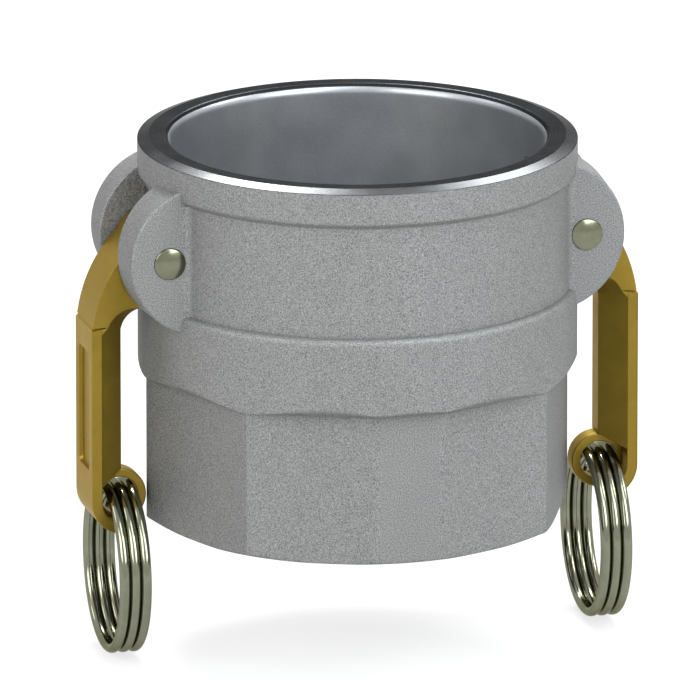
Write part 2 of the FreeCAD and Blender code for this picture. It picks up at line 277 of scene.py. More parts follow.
def wall_outline():
    """Corners of the closed outline as (corners, directions, 2), with a round and a finish each."""
    corners = []

    def add(radius, level, rounding=0.0, finish=CAST):
        shape = np.ones_like(theta)
        corners.append((np.stack([radius * shape, level * shape], -1), rounding, finish))

    # lower end and flats
    add(thread_r, thread_chamfer, finish=MACHINED_SHADE)
    add(thread_r + thread_chamfer, 0, 0.05)
    add(end_flat_r, 0)
    edge = octagon - end_round
    for share in (0, 0.3, 0.6, 0.8, 1):
        radius = end_rows_r + share * (edge - end_rows_r)
        add(radius, end_level(radius))
    for turn in np.radians([18, 36, 54, 72, 90]):
        radius = edge + end_round * np.sin(turn)
        add(radius, end_level(radius) + end_round * (1 - np.cos(turn)))
    add(octagon, end_level(octagon) + end_round + 0.25)
    for level in (14, 28, flats_top - 1.2):
        add(octagon, level)
    add(octagon, flats_top, 0.3)
    # collar and waist
    for share in (0.2, 0.4, 0.6, 0.8):
        radius = octagon + share * (collar_r - octagon)
        add(radius, runout_height(radius))
    add(collar_r, runout_height(np.full_like(theta, collar_r)), under_collar_round)
    for level in (44, 50, slot_foot, collar_top - 2.1):
        add(collar_r, level)
    for turn in np.radians([0, 15, 30, 45, 60, 75, 90]):
        add(waist_r + collar_round * np.cos(turn), collar_top - collar_round * (1 - np.sin(turn)))
    for level in (collar_top + 0.3, window_foot, pin_z, window_head):
        add(waist_r, level)
    add(waist_r, rim_foot - rim_round, 0.12)
    # rim and mouth
    for turn in np.radians([-68, -45, -22, 0]):
        across, up = rim_round * np.cos(turn), rim_round * np.sin(turn)
        add(rim_r - rim_round + across, rim_foot + rim_round + up)
    add(rim_r, rim_foot + 1.3)
    add(rim_r, height - 3)
    # chamfer and top face take the very dark machined and faced finishes: painted shade
    add(rim_r, height - chamfer[1], 0.12, MACHINED_SHADE)
    add(rim_r - chamfer[0], height, 0.15, FACED_SHADE)
    start = math.radians(round_from)
    add(bore_r + mouth_round * (1 - math.cos(start)) + 0.1, height, 0, FACED_SHADE)
    for degrees in np.linspace(round_from, 0, 11):
        turn = math.radians(degrees)
        level = height - mouth_round * (math.sin(start) - math.sin(turn))
        # the upper part of the mouth's round takes the dark faced finish: painted shade
        finish = FACED_SHADE if degrees > lip_shade_above else BORED
        add(bore_r + mouth_round * (1 - math.cos(turn)), level, 0, finish)
    # inside, downwards
    for radius, level, rounding in (
            (bore_r, height - mouth_round - 0.6, 0), (bore_r, window_head, 0),
            (bore_r, window_head - 1.2, 0.3), (window_foot_r, window_foot, 0),
            (draft_r, groove_top, 0.25), (groove_r, groove_top, 0), (groove_r, seat_z, 0),
            (waterway_r, seat_z, 0.4), (waterway_r, seat_foot, 0.3)):
        add(radius, level, rounding, BORED)
    for level in (seat_foot, seat_foot - relief_long):
        add(thread_r + relief, level, 0, MACHINED_SHADE)
    for level in (seat_foot - relief_end, 16, thread_chamfer):
        add(thread_r, level, 0, MACHINED_SHADE)
    return corners


# %% [markdown]
# The window for the lever's cam goes through the wall between the ears, and its sloping foot cuts
# a notch in the collar's edge. Its sides are flat and parallel, so at every radius the grid's
# lines turn a little to meet them. Four small corner pieces give it rounded corners.


# %% The wall's surface
swerve_angle, swerve_foot, swerve_over = 0.45, 46, 4


def wall_points(rows):
    """Turns outline rows (radius, level) into points.

    Near the window each line's angle grows by the difference between the window's half angle at
    that radius, the arc sine of half width over radius, and the half angle at the waist.
    """
    half_turn = math.pi - np.array([swerve_angle, window_angle, 0])
    knots = np.array([0, window_angle, swerve_angle, *half_turn])
    share = np.interp(theta % math.pi, knots, [0, 1, 0, 0, -1, 0])
    radius, level = rows[..., 0], rows[..., 1]
    extra = np.arcsin(slot_half / np.maximum(radius, bore_r - 1)) - window_angle
    turn = theta + extra * share * np.clip((level - swerve_foot) / swerve_over, 0, 1)
    return np.stack([radius * np.cos(turn), radius * np.sin(turn), level], -1)


def window_outline(levels):
    """Closed outline of the window as (share of its half width, z), anticlockwise from outside.

    The straight edges take their points from the wall's lines, so that both surfaces meet.
    """
    corner = np.array([slot_corner / slot_half, slot_corner])
    lines = np.angle(np.exp(1j * theta)) / window_angle
    lines = np.sort(lines[np.abs(lines) < 1 - corner[0]])[::-1]
    straight = (levels > slot_foot + slot_corner) & (levels < window_head - slot_corner)
    levels = np.sort(levels[straight])[::-1]
    edges = [[(line, window_head) for line in lines], [(-1, level) for level in levels],
             [(line, slot_foot) for line in lines[::-1]], [(1, level) for level in levels[::-1]]]
    outline, quarters = [], []
    tips = (1, window_head), (-1, window_head), (-1, slot_foot), (1, slot_foot)
    for number, (tip, edge) in enumerate(zip(tips, edges)):
        centre = tip - corner * np.array([tip[0], 1 if tip[1] == window_head else -1])
        turn = np.radians(np.linspace(0, 90, 7)) + number * math.pi / 2
        quarter = centre + corner * np.stack([np.cos(turn), np.sin(turn)], -1)
        quarters.append((quarter, np.array(tip)))
        outline += [quarter, edge]
    return np.concatenate(outline), quarters


def on_wall(points, radius, side):
    """Puts points (share of the window's half width, z) on the wall of that radius, at +X or -X."""
    turn = points[..., 0] * np.arcsin(slot_half / radius)
    return np.stack([side * radius * np.cos(turn), side * radius * np.sin(turn), points[..., 1]], -1)


def inner_outline(points):
    """The window's outline in the bore: the outer one, squeezed upwards to its higher foot."""
    squeeze = (window_head - window_foot) / (window_head - slot_foot)
    return np.stack([points[..., 0], window_head - (window_head - points[..., 1]) * squeeze], -1)


def inner_radius(z):
    """Radius of the bore at a height beside the window."""
    return np.interp(z, [groove_top, window_foot, window_head - 1.2], [draft_r, window_foot_r, bore_r])


def add_windows(piece, radius, level):
    """Both windows: their sides from the bore outwards, and the small pieces at the corners."""
    outside = (radius > outside_r) & (level >= slot_foot - 0.01) & (level < window_head + 0.01)
    order = np.argsort(level[outside])
    ring, quarters = window_outline(level[outside])
    ring_radius = np.interp(ring[:, 1], level[outside][order], radius[outside][order])
    inner = inner_outline(ring)
    for side in (1, -1):
        rows = []
        for share in (0, 0.5, 1):
            depth = inner_radius(inner[:, 1]) * (1 - share) + ring_radius * share
            rows.append(on_wall(inner + share * (ring - inner), depth, side))
        piece.grid(np.stack(rows), CAST, loop_v=True)
        for quarter, corner in quarters:
            fan = np.stack([quarter + share * (corner - quarter) for share in (0, 0.5, 1)])
            piece.grid(on_wall(fan, collar_r if corner[1] == slot_foot else waist_r, side), CAST)
            fan = inner_outline(fan)
            piece.grid(on_wall(fan, inner_radius(fan[..., 1]), side), BORED, flip=True)


def add_wall(piece):
    """The outline carried round the axis, without the faces in the windows' openings."""
    corners = wall_outline()
    path = np.stack([corner[0] for corner in corners])
    rows, source = soften(path, [corner[1] for corner in corners])
    finish = np.array([corner[2] for corner in corners])[source]
    radius, level = rows[:, :, 0].mean(1), rows[:, :, 1].mean(1)
    middle = (level[:-1] + level[1:]) / 2
    foot = np.where(radius[:-1] > outside_r, slot_foot, window_foot)
    open_row = (middle > foot) & (middle < window_head)
    gaps = np.diff(np.append(theta, theta[0] + 2 * math.pi)) / 2
    open_column = np.abs(np.sin(theta + gaps)) < math.sin(window_angle)
    piece.grid(wall_points(rows), finish, loop_v=True, flip=True,
               keep=lambda u, v: ~(open_row[u] & open_column[v]))
    add_windows(piece, radius, level)


# %% [markdown]
# ## The ears
# Each lever hangs between two ears, drafted discs that grow out of the wall. An ear is worked out
# round the pin's axis: in each direction the outline lies where the ray meets the disc, or the
# wall, and the same ray carries the rounded edge, the draft and the faces.

# %% Ears and their roots
pin_r = 3.97
ear_out = slot_half + 11.55
ear_centre = pin_x - 9.47
ear_r, ear_draft = 19.9, 0.7
ear_edge, ear_inner_edge, ear_root = 0.7, 0.5, 3.0
hole_r, hole_edge = pin_r + 0.01, 0.06


def ear_reach(turn, y):
    """Distance from the pin's axis to the ear's outline in each direction, at a distance y."""
    radius = ear_r - ear_draft * (y - slot_half) / (ear_out - slot_half)
    across = (pin_x - ear_centre) * np.sin(turn)
    disc = np.sqrt(radius ** 2 - across ** 2) - (pin_x - ear_centre) * np.cos(turn)
    wall_x = math.sqrt((waist_r - 0.2) ** 2 - y ** 2)
    tiny, far = 1e-3, 1e3
    to_wall = np.where(np.cos(turn) < -tiny, (pin_x - wall_x) / -np.minimum(np.cos(turn), -tiny), far)
    return np.minimum(disc, to_wall)


def add_ear(piece, side, hand):
    """One ear. side is +1 or -1 along X, hand is +1 or -1 along Y."""
    turn = np.radians(np.arange(0, 360, 2))
    rows = []

    def add(reach, y):
        x, z = pin_x + reach * np.cos(turn), pin_z + reach * np.sin(turn)
        rows.append(np.stack([x, y * np.ones_like(turn), z], -1))

    add(hole_r, ear_out - 2.0)
    add(hole_r, ear_out - hole_edge)
    add(hole_r + hole_edge, ear_out)
    add(hole_r + 0.4, ear_out)
    reach = ear_reach(turn, ear_out - ear_edge)
    add(np.maximum(reach - ear_edge - 0.3, hole_r + 0.55), ear_out)
    for angle in np.radians([0, 18, 36, 54, 72, 90]):
        inside = np.maximum(reach - ear_edge * (1 - np.sin(angle)), hole_r + 0.6)
        add(inside, ear_out - ear_edge * (1 - np.cos(angle)))
    for y in (ear_out - ear_edge - 0.2, ear_out - 4, slot_half + 4,
              slot_half + ear_inner_edge + 0.15):
        add(ear_reach(turn, y), y)
    reach = ear_reach(turn, slot_half + ear_inner_edge)
    for angle in np.radians([0, 30, 60, 90]):
        y = slot_half + ear_inner_edge * (1 - np.sin(angle))
        add(reach - ear_inner_edge * (1 - np.cos(angle)), y)
    add(reach - ear_inner_edge - 0.3, slot_half)
    add(np.zeros_like(turn), slot_half)
    points = np.stack(rows) * np.array([side, side * hand, 1])
    piece.grid(points, CAST, loop_v=True, flip=hand < 0)


def add_ear_root(piece, side, hand):
    """Concave blend between the wall and the ear's outer face: an arc carried upwards."""
    centre_y = ear_out + ear_root
    centre = np.array([math.sqrt((waist_r + ear_root) ** 2 - centre_y ** 2), centre_y])
    toward = math.atan2(-centre[1], -centre[0]) % (2 * math.pi)
    turn = np.linspace(toward, 1.5 * math.pi, 9)
    arc = centre + ear_root * np.stack([np.cos(turn), np.sin(turn)], -1)
    arc = np.concatenate([arc[:1] + (arc[:1] - centre) * 0.1, arc, arc[-1:] + [[0.3, -0.05]]])
    levels = np.linspace(collar_top - 0.5, rim_foot - 0.6, 20)
    points = np.empty((len(levels), len(arc), 3))
    points[..., :2] = arc
    points[..., 2] = levels[:, None]
    piece.grid(points * np.array([side, side * hand, 1]), CAST, flip=hand > 0)


# %% [markdown]
# ## Levers
# A lever is one brass casting: a thick head with hub and cam, a flat handle with a stiffening rib
# behind it, and an eye for the ring. Head, plate, rib and eye are surfaces of their own that run
# into each other, as the parts of a casting do.

# %% Sizes of the lever
pin_at = np.array([pin_x, pin_z])
lever_half = 8.15    # half the width of head and handle
outer_x = pin_x + 16.73
strip_x, inner_x = outer_x - 2.6, outer_x - 8.7    # backs of the plate and of the rib
shoulder_z = pin_z - 18.95
hub_r, cam_r = 6.6, 8.0
cam_at = np.array([bore_r - 4.0 + cam_r, pin_z - 1.15])
heel = np.array([pin_x + 2.4, pin_z - 10.75])
rib_end = np.array([pin_x + 3.8, pin_z - 16.05])
rib_half, rib_round, crease_z = 2.8, 0.3, shoulder_z - 1.9
arch_centre, arch_r = np.array([pin_x + 5.8, pin_z - 21.4]), 7.13
arch_foot = np.array([pin_x + 12.4, shoulder_z + 0.25])
arch_degrees, arch_rows = 97, 18
neck_angle, neck_bulge, neck_inset = 0.9355, 2.55, 0.35
head_foot, groove_depth = shoulder_z + 0.15, 0.75
sharp_edge = 0.13
eye_hole_r, eye_r, eye_half = 4.7, 6.9, 2.4
print("lever's outer face", outer_x, "shoulder", shoulder_z)


def bulged(start, end, bulge, count):
    """Points of a shallow arc that bulges to the right of its direction by a given height."""
    start, end = np.asarray(start, float), np.asarray(end, float)
    share = np.linspace(0, 1, count)[:, None]
    along = end - start
    right = np.array([along[1], -along[0]]) / np.hypot(*along)
    return start + share * along + right * (bulge * 4 * share * (1 - share))


def arch():
    """The arched underside of the head: an arc from above the heel down to the shoulder."""
    last = math.atan2(*(arch_foot - arch_centre)[::-1])
    turn = np.linspace(math.radians(arch_degrees), last, arch_rows)
    return arch_centre + arch_r * np.stack([np.cos(turn), np.sin(turn)], -1)


def head_outline():
    """Closed outline of the head in x and z, from the shoulder up: back, hub, cam, heel, arch."""
    neck_top = pin_at + (hub_r - 0.8) * np.array([math.cos(neck_angle), math.sin(neck_angle)])
    back = bulged([outer_x - neck_inset, head_foot], neck_top, neck_bulge, 40)
    back = back[np.hypot(back[:, 0] - pin_x, back[:, 1] - pin_z) > hub_r + 0.05]
    middle = (pin_at + cam_at) / 2
    first = math.degrees(math.atan2(*(back[-1] - middle)[::-1]))
    turn = np.radians(np.linspace(first + 3, 262, 56))
    ray = np.stack([np.cos(turn), np.sin(turn)], -1)
    reach = []
    for centre, radius in ((pin_at, hub_r), (cam_at, cam_r)):
        offset = middle - centre
        along = (ray * offset).sum(-1)
        reach.append(np.sqrt(radius ** 2 - (offset ** 2).sum() + along ** 2) - along)
    lobes = middle + ray * np.maximum(*reach)[:, None]
    return np.concatenate([back, lobes, heel[None], arch(), [[arch_foot[0], head_foot]]])


def offset_inwards(outline, distance):
    """Moves a closed outline, which runs anticlockwise, inwards along its normals."""
    along = np.roll(outline, -1, 0) - np.roll(outline, 1, 0)
    inwards = np.stack([-along[:, 1], along[:, 0]], -1) / length_of(along)
    return outline + inwards * distance


def across_middle(line, y):
    """Puts a line in x and z at a distance y from the lever's middle plane."""
    return np.stack([line[:, 0], np.full(len(line), y), line[:, 1]], -1)


def slab(piece, outline, half):
    """Makes a closed outline in x and z solid, evenly to both sides, with small round edges."""
    rows = [(outline, half - sharp_edge - 0.1)]
    for angle in np.radians([0, 30, 60, 90]):
        ring = offset_inwards(outline, sharp_edge * (1 - math.cos(angle)))
        rows.append((ring, half - sharp_edge * (1 - math.sin(angle))))
    both = rows[::-1] + [(ring, -y) for ring, y in rows]
    points = np.stack([across_middle(ring, y) for ring, y in both])
    piece.grid(points, loop_v=True, flip=True)
    piece.plate(points[0], flip=True)
    piece.plate(points[-1])


# %% [markdown]
# The handle's plate is a section carried down the back and round under the eye. Its outer face has
# a shallow recess with rounded corners, cut by a soft step over the distance to the recess's edge.


# %% The plate and its recess
panel_half, panel_depth, panel_corner = 4.8, 0.9, 1.2
panel_foot, panel_head = eye_z + 7.8, shoulder_z - 7.0
panel_wall = 0.36    # width of the recess's wall
wall_rows = np.array([-0.3, -0.12, 0, 0.12, 0.3])    # rows of points across that wall
bend_rows = np.array([0.4, 0.8, 1.2])                # and beside it, inside the recess


def panel_dip(y, z):
    """Depth of the recess: full inside a rounded rectangle, none outside, over a steep wall."""
    middle, half = (panel_foot + panel_head) / 2, (panel_head - panel_foot) / 2
    beyond = np.stack([np.abs(y) - panel_half + panel_corner, np.abs(z - middle) - half + panel_corner])
    gap = np.hypot(*np.clip(beyond, 0, None)) + np.minimum(beyond.max(0), 0) - panel_corner
    share = np.clip(0.5 - gap / panel_wall, 0, 1)
    return panel_depth * share * share * (3 - 2 * share)


def groove_floor(x):
    """Top of the plate at the shoulder: it slopes down outwards and leaves a wedge under the head."""
    return head_foot - groove_depth * (x - arch_foot[0]) / (outer_x - arch_foot[0])


def add_shoulder(piece):
    """The core that joins head and plate behind the groove, and the plate's corner beside it."""
    level = head_foot + 0.15
    core = [(arch_foot[0] + 0.3, level - 0.4), (outer_x - 1, level - 1.6),
            (outer_x - 0.03, level - 1.1), (outer_x - neck_inset - 0.02, level)]
    slab(piece, np.array(core), lever_half - 0.7)
    inside, outside = arch_foot[0] + 0.05, strip_x + 0.3
    corner = [(outside, crease_z), (outside, groove_floor(outside)),
              (inside, groove_floor(inside)), (strip_x, crease_z)]
    slab(piece, np.array(corner), lever_half)


def plate_stations():
    """Where the plate's sections lie: turn and level, down the back and then round the eye."""
    down = [panel_head + wall_rows, panel_head - bend_rows, panel_foot + wall_rows,
            panel_foot + bend_rows, np.linspace(panel_foot + 3, panel_head - 3, 6),
            [shoulder_z, shoulder_z - 0.3, 50, 13, eye_z]]
    down = np.sort(np.concatenate(down))[::-1]
    wrap = np.radians(np.linspace(0, -90, 14))[1:]
    turn = np.concatenate([np.zeros_like(down), wrap])
    return turn[:, None], np.concatenate([down, np.full_like(wrap, eye_z)])[:, None]


def plate_section():
    """The plate's closed section, as rows of (distance out from the eye's axis, y)."""
    across = np.concatenate([panel_half + wall_rows, panel_half - bend_rows, [0, 1.8]])
    across = np.sort(np.concatenate([across, -across[across > 0], [-lever_half, lever_half]]))
    far, near = outer_x - eye_x, strip_x - eye_x
    corners = [(far, y) for y in across] + [(near, lever_half), (near, -lever_half)]
    corners = np.array(corners + corners[:1])
    rounds = np.zeros(len(corners))
    rounds[len(across) - 1:len(across) + 2] = sharp_edge
    rows = soften(corners[:, None], rounds, steps=3)[0][:, 0]
    first_corner = soften(corners[[-2, 0, 1]][:, None], [0, sharp_edge, 0], steps=3)[0][1:-1, 0]
    return np.concatenate([rows, first_corner])


def add_plate(piece):
    """The section carried along the stations, with the recess, and cut off by the wedge above."""
    turn, level = plate_stations()
    depth, y = plate_section().T
    on_face = (depth > outer_x - eye_x - 0.01) & (np.abs(y) < lever_half - 0.5) & (turn > -1e-6)
    y, level = np.broadcast_arrays(y, level)
    reach = depth - panel_dip(y, level) * on_face
    points = np.stack([eye_x + reach * np.cos(turn), y, level + reach * np.sin(turn)], -1)
    points[..., 2] = np.minimum(points[..., 2], groove_floor(points[..., 0]))
    piece.grid(points, loop_v=True, flip=True)
    piece.plate(points[0])
    piece.plate(points[-1], flip=True)


# %% Rib, eye and the whole lever
def add_rib(piece):
    """The rib is ruled between its narrow inner edge and its wide outer one, from eye to heel."""
    count = 14
    straight = np.linspace(0, 1, count)
    level = eye_z + straight * (crease_z - eye_z)
    narrow = np.concatenate([np.stack([np.full(count, inner_x), level], -1),
                             bulged([inner_x, crease_z], rib_end, 0.9, arch_rows + 1)[1:], heel[None]])
    wide = np.concatenate([np.stack([np.full(count, strip_x), level], -1), arch()[::-1], heel[None]])
    edges = (wide, lever_half), (narrow, rib_half), (narrow, -rib_half), (wide, -lever_half)
    corners = np.stack([across_middle(line, y) for line, y in edges])
    rows = soften(corners, [0, rib_round, rib_round, 0], steps=3)[0]
    inside = np.clip(eye_r ** 2 - (rows[:, :count, 0] - eye_x) ** 2, 0, None)
    foot = eye_z + np.sqrt(inside)
    top = rows[:, count - 1:count, 2]
    rows[:, :count, 2] = foot + straight * (top - foot)
    piece.grid(rows)
    for part in (slice(0, 3), slice(-3, None)):
        edge = rows[part, 0]
        inner = edge * np.array([1, 0, 1]) + np.sign(edge[:, 1:2]) * np.array([0, 2.0, 0])
        piece.grid(np.stack([edge, inner]), flip=edge[0, 1] < 0)


def turned_about_y(piece, profile, centre, count=96):
    """A closed profile of (radius, y), carried round an axis along Y through the centre."""
    turn = np.linspace(0, 2 * math.pi, count, endpoint=False)
    radius, y = profile[:, 0, None], profile[:, 1, None]
    x, z = centre[0] + radius * np.cos(turn), centre[1] + radius * np.sin(turn)
    piece.grid(np.stack([x, y * np.ones_like(turn), z], -1), loop_v=True, flip=True)


def rounded_profile(corners, radii):
    """Softens a closed profile of a few corners and repeats its first point at the end."""
    corners = np.array([corners[-1], *corners, corners[0]], float)[:, None]
    rows = soften(corners, [0, *radii, 0])[0][1:-1, 0]
    return np.concatenate([rows, rows[:1]])


def make_lever(word, side, brass):
    """Head, shoulder, plate, rib and eye, in one piece."""
    piece = Piece("brass_lever_" + word)
    slab(piece, head_outline(), lever_half)
    add_shoulder(piece)
    add_plate(piece)
    add_rib(piece)
    eye = [(eye_hole_r, -eye_half), (eye_r, -eye_half), (eye_r, eye_half), (eye_hole_r, eye_half)]
    turned_about_y(piece, rounded_profile(eye, [0.3, 0.4, 0.4, 0.3]), (eye_x, eye_z))
    piece.turn_to(side)
    piece.make(word + "_lever", [brass], ["lever_" + word])


# %% [markdown]
# ## Pins, rings, seal and thread
# The pins are turned, with a low crown on each end and a rounded edge. A ring is wire wound in
# three flat turns that step over beside the ends: a circle carried along that path. The thread is
# a ridge of the 55 degree form, carried up a helix.


# %% Pins
pin_crown, pin_edge = 0.74, 0.3


def make_pin(word, side, steel):
    """A turned pin: one profile with the crown of both ends."""
    piece = Piece("steel_pin_" + word)
    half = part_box("pin_" + word)[1].y / MM
    crown = np.linspace(0, pin_r, 9)
    end = np.stack([crown, half - crown ** 2 * pin_crown / pin_r ** 2], -1)
    end = np.concatenate([end, [[pin_r, half - pin_crown - 1], [pin_r, 6]]])
    end = soften(end[:, None], [0] * 8 + [pin_edge, 0, 0])[0][:, 0]
    turned_about_y(piece, np.concatenate([end * [1, -1], end[::-1]]), pin_at, count=72)
    piece.turn_to(side)
    piece.make("coupler", [steel], ["pin_" + word])


# %% Pull rings
ring_r, ring_lift, wire_r, ring_turns = 20.4, 1.85, 1.34, 3
ring_pitch = 2 * wire_r + 0.03
step_degrees, end_degrees, yaw_degrees = 42.0, 76.0, -1.2
path_points, wire_sides = 900, 20
cut_end = 0.72, 0.93    # the wire's size at its last two points, as a share


def ring_path():
    """The wire's centre line, and the angle along the coil at each of its points."""
    run = np.linspace(0, 360 * ring_turns - step_degrees, path_points)
    step = np.clip((run % 360 - (360 - step_degrees)) / step_degrees, 0, 1)
    sideways = ring_pitch * (run // 360 + (1 - np.cos(math.pi * step)) / 2 - (ring_turns - 1) / 2)
    turn = np.radians(run + end_degrees)
    level = ring_r * np.sin(turn) - ring_r + ring_lift
    return np.stack([sideways, ring_r * np.cos(turn), level], -1), turn


def make_ring(word, side, wire):
    """A circle of the wire's radius, carried along the path, with slightly rounded cut ends."""
    path, turn = ring_path()
    along = np.gradient(path, axis=0)
    along = along / length_of(along)
    outwards = np.stack([np.zeros_like(turn), np.cos(turn), np.sin(turn)], -1)
    across = np.cross(along, outwards)
    across = across / length_of(across)
    around = np.linspace(0, 2 * math.pi, wire_sides, endpoint=False)[None, :, None]
    size = np.full((path_points, 1, 1), wire_r)
    size[[0, -1]], size[[1, -2]] = wire_r * cut_end[0], wire_r * cut_end[1]
    circle = np.cos(around) * outwards[:, None] + np.sin(around) * across[:, None]
    tube = path[:, None] + size * circle
    yaw = math.radians(yaw_degrees)
    swing = np.array([[math.cos(yaw), -math.sin(yaw), 0], [math.sin(yaw), math.cos(yaw), 0], [0, 0, 1]])
    tube = tube @ swing.T + np.array([side * eye_x, 0, eye_z])
    piece = Piece("wire_ring_" + word)
    piece.grid(tube, loop_v=True)
    piece.plate(tube[0])
    piece.plate(tube[-1], flip=True)
    piece.make(word + "_ring", [wire], ["ring_" + word])


# %% Seal ring
def make_seal(rubber):
    """A flat-sided ring that stands on the seat, carried round the bore's axis."""
    piece = Piece("rubber_seal")
    lip, inner, top = bore_r + 1.05, waterway_r - 0.5, seat_z + 6.35
    corners = (inner, seat_z), (inner, top), (lip, top), (lip, seat_z)
    profile = rounded_profile(corners, [0.3, 0.8, 0.8, 0.3])
    turn = np.linspace(0, 2 * math.pi, 200, endpoint=False)
    radius, z = profile[::-1, 0, None], profile[::-1, 1, None]
    points = np.stack([radius * np.cos(turn), radius * np.sin(turn), z * np.ones_like(turn)], -1)
    piece.grid(points, loop_v=True, flip=True)
    piece.make("coupler", [rubber], ["gasket"])


# %% Pipe thread
thread_pitch, thread_depth = 2.309, 1.479
thread_first, thread_last = 1.6, seat_foot - 5.0
points_a_turn, form_depth = 120, 1.33
form_flank = [(-1.16, 0.25), (-0.98, -0.02), (-0.86, -0.16),
              (-0.42, -1.05), (-0.28, -1.25), (-0.13, -form_depth)]


def make_thread(metal):
    """Ridges of the pipe thread, which fade out over a quarter turn at each end.

    form_flank holds one side of a ridge's section, as (along the axis, outwards from the wall).
    """
    turns = (thread_last - thread_first) / thread_pitch
    turn = np.linspace(0, 2 * math.pi * turns, int(turns * points_a_turn))
    fade = np.clip(np.minimum(turn, turn[-1] - turn) / (math.pi / 2), 0, 1)
    form = np.array(form_flank + [(-along, out) for along, out in form_flank[::-1]])
    along, out = form[:, :1], form[:, 1:]
    reach = thread_r + np.where(out < 0, out * (thread_depth / form_depth) * fade, out)
    z = thread_first + thread_pitch * turn / (2 * math.pi) + along
    points = np.stack([reach * np.cos(turn), reach * np.sin(turn), z], -1)
    piece = Piece("pipe_thread_ridge")
    piece.grid(points)
    piece.grid(points[[-1, 0]])
    piece.plate(points[:, 0])
    piece.plate(points[:, -1], flip=True)
    piece.make("coupler", [metal])


# %% [markdown]
# ## Finishes
# Shader maths is written as Python expressions. A socket is wrapped in a small class whose
# operators add Math nodes, so a mask or a grain reads like a formula.


# %% A socket with operators
class Field:
    """A value socket of one material's tree. Arithmetic on it adds Math nodes."""

    def __init__(self, tree, socket):
        self.tree, self.socket = tree, socket

    def math(self, operation, *others):
        node = self.tree.nodes.new("ShaderNodeMath")
        node.operation = operation
        for place, value in zip(node.inputs, (self, *others)):
            if isinstance(value, Field):
                self.tree.links.new(value.socket, place)
            else:
                place.default_value = value
        return Field(self.tree, node.outputs[0])

    def __add__(self, other):
        return self.math("ADD", other)

    def __mul__(self, other):
        return self.math("MULTIPLY", other)

    def __sub__(self, other):
        return self.math("SUBTRACT", other)

    def __rsub__(self, other):
        return (self * -1.0) + other

    __radd__, __rmul__ = __add__, __mul__


class Finish:
    """One material: its shader, and one method that adds any other node."""

    def __init__(self, name, **sockets):
        self.material = bpy.data.materials.new(name)
        self.material.use_nodes = True
        self.tree = self.material.node_tree
        self.shader = self.tree.nodes["Principled BSDF"]
        for socket, value in sockets.items():
            self.shader.inputs[socket.replace("_", " ")].default_value = value
        self.place = self.node("ShaderNodeTexCoord").outputs["Object"]

    def node(self, kind, settings=None, **sockets):
        """Adds a node: its settings first, then the values or links of its sockets."""
        node = self.tree.nodes.new(kind)
        for key, value in (settings or {}).items():
            setattr(node, key, value)
        for name, value in sockets.items():
            place = node.inputs[name.replace("_", " ")]
            if isinstance(value, Field):
                value = value.socket
            if isinstance(value, bpy.types.NodeSocket):
                self.tree.links.new(value, place)
            else:
                place.default_value = value
        return node

    def noise(self, size_mm, detail=2.0, roughness=0.5):
        """Noise with features of about the given size."""
        made = self.node("ShaderNodeTexNoise", Vector=self.place, Scale=1 / (size_mm * MM),
                         Detail=detail, Roughness=roughness)
        return Field(self.tree, made.outputs["Fac"])

    def circles(self, line_mm):
        """Noise that changes only with the distance from the bore's axis."""
        apart = self.node("ShaderNodeSeparateXYZ", Vector=self.place)
        x, y = Field(self.tree, apart.outputs[0]), Field(self.tree, apart.outputs[1])
        radius_mm = (x * x + y * y).math("SQRT") * (1 / MM)
        made = self.node("ShaderNodeTexNoise", {"noise_dimensions": "1D"}, W=radius_mm,
                         Scale=1 / line_mm, Detail=2.0)
        return Field(self.tree, made.outputs["Fac"])

    def colour(self, dark, light, mask):
        """Base colour between two colours, where the mask goes from 0 to 1."""
        mask = mask.math("MAXIMUM", 0.0).math("MINIMUM", 1.0)
        mix = self.node("ShaderNodeMix", {"data_type": "RGBA"},
                        A=(*dark, 1), B=(*light, 1), Factor=mask)
        self.feed("Base Color", Field(self.tree, mix.outputs["Result"]))

    def bump(self, level, height_mm, strength=0.25):
        made = self.node("ShaderNodeBump", Height=level, Strength=strength, Distance=height_mm * MM)
        self.feed("Normal", Field(self.tree, made.outputs[0]))

    def feed(self, socket, field):
        self.tree.links.new(field.socket, self.shader.inputs[socket])


# %% [markdown]
# Blasting leaves the casting covered in tiny pits: a fine grain in brightness and in slope, with
# slow patches under it. Where the casting is machined, a turned face keeps faint circles. The
# tint and the level of the specular lobe keep grazing light on the metals as dull as in the photo.


# %% Aluminium
def blasted_aluminium():
    finish = Finish("blasted_aluminium", Metallic=0.6, Specular_Tint=(0.25, 0.25, 0.25, 1),
                    Specular_IOR_Level=0.3)
    grain = finish.noise(0.3, 3.0, 0.6)
    patches = finish.noise(6.0)
    tone = (grain - 0.5) * 3.2 + (patches - 0.5) * 0.1 + 0.5
    finish.colour((0.108, 0.11, 0.109), (0.312, 0.316, 0.312), tone)
    finish.feed("Roughness", (grain - 0.5) * 0.25 + 0.58)
    finish.bump(grain, 0.14, 0.55)
    return finish.material


def turned_aluminium(name, dark, light, rough, line_mm):
    finish = Finish(name, Metallic=1.0, Specular_Tint=(0.42, 0.42, 0.42, 1))
    lines = finish.circles(line_mm)
    cloud = finish.noise(9.0)
    finish.colour(dark, light, (lines - 0.5) * 1.4 + (cloud - 0.5) * 0.6 + 0.5)
    finish.feed("Roughness", (cloud - 0.5) * 0.12 + (lines - 0.5) * 0.1 + rough)
    finish.bump(lines, 0.01)
    return finish.material


def bored_aluminium():
    finish = Finish("bored_aluminium", Metallic=0.8, Specular_Tint=(0.35, 0.35, 0.35, 1),
                    Specular_IOR_Level=0.2)
    grain, cloud = finish.noise(0.5), finish.noise(11.0)
    tone = (cloud - 0.5) * 0.9 + (grain - 0.5) * 0.9 + 0.5
    finish.colour((0.27, 0.284, 0.3), (0.37, 0.384, 0.402), tone)
    finish.feed("Roughness", (cloud - 0.5) * 0.1 + 0.35)
    finish.bump(grain, 0.05)
    return finish.material


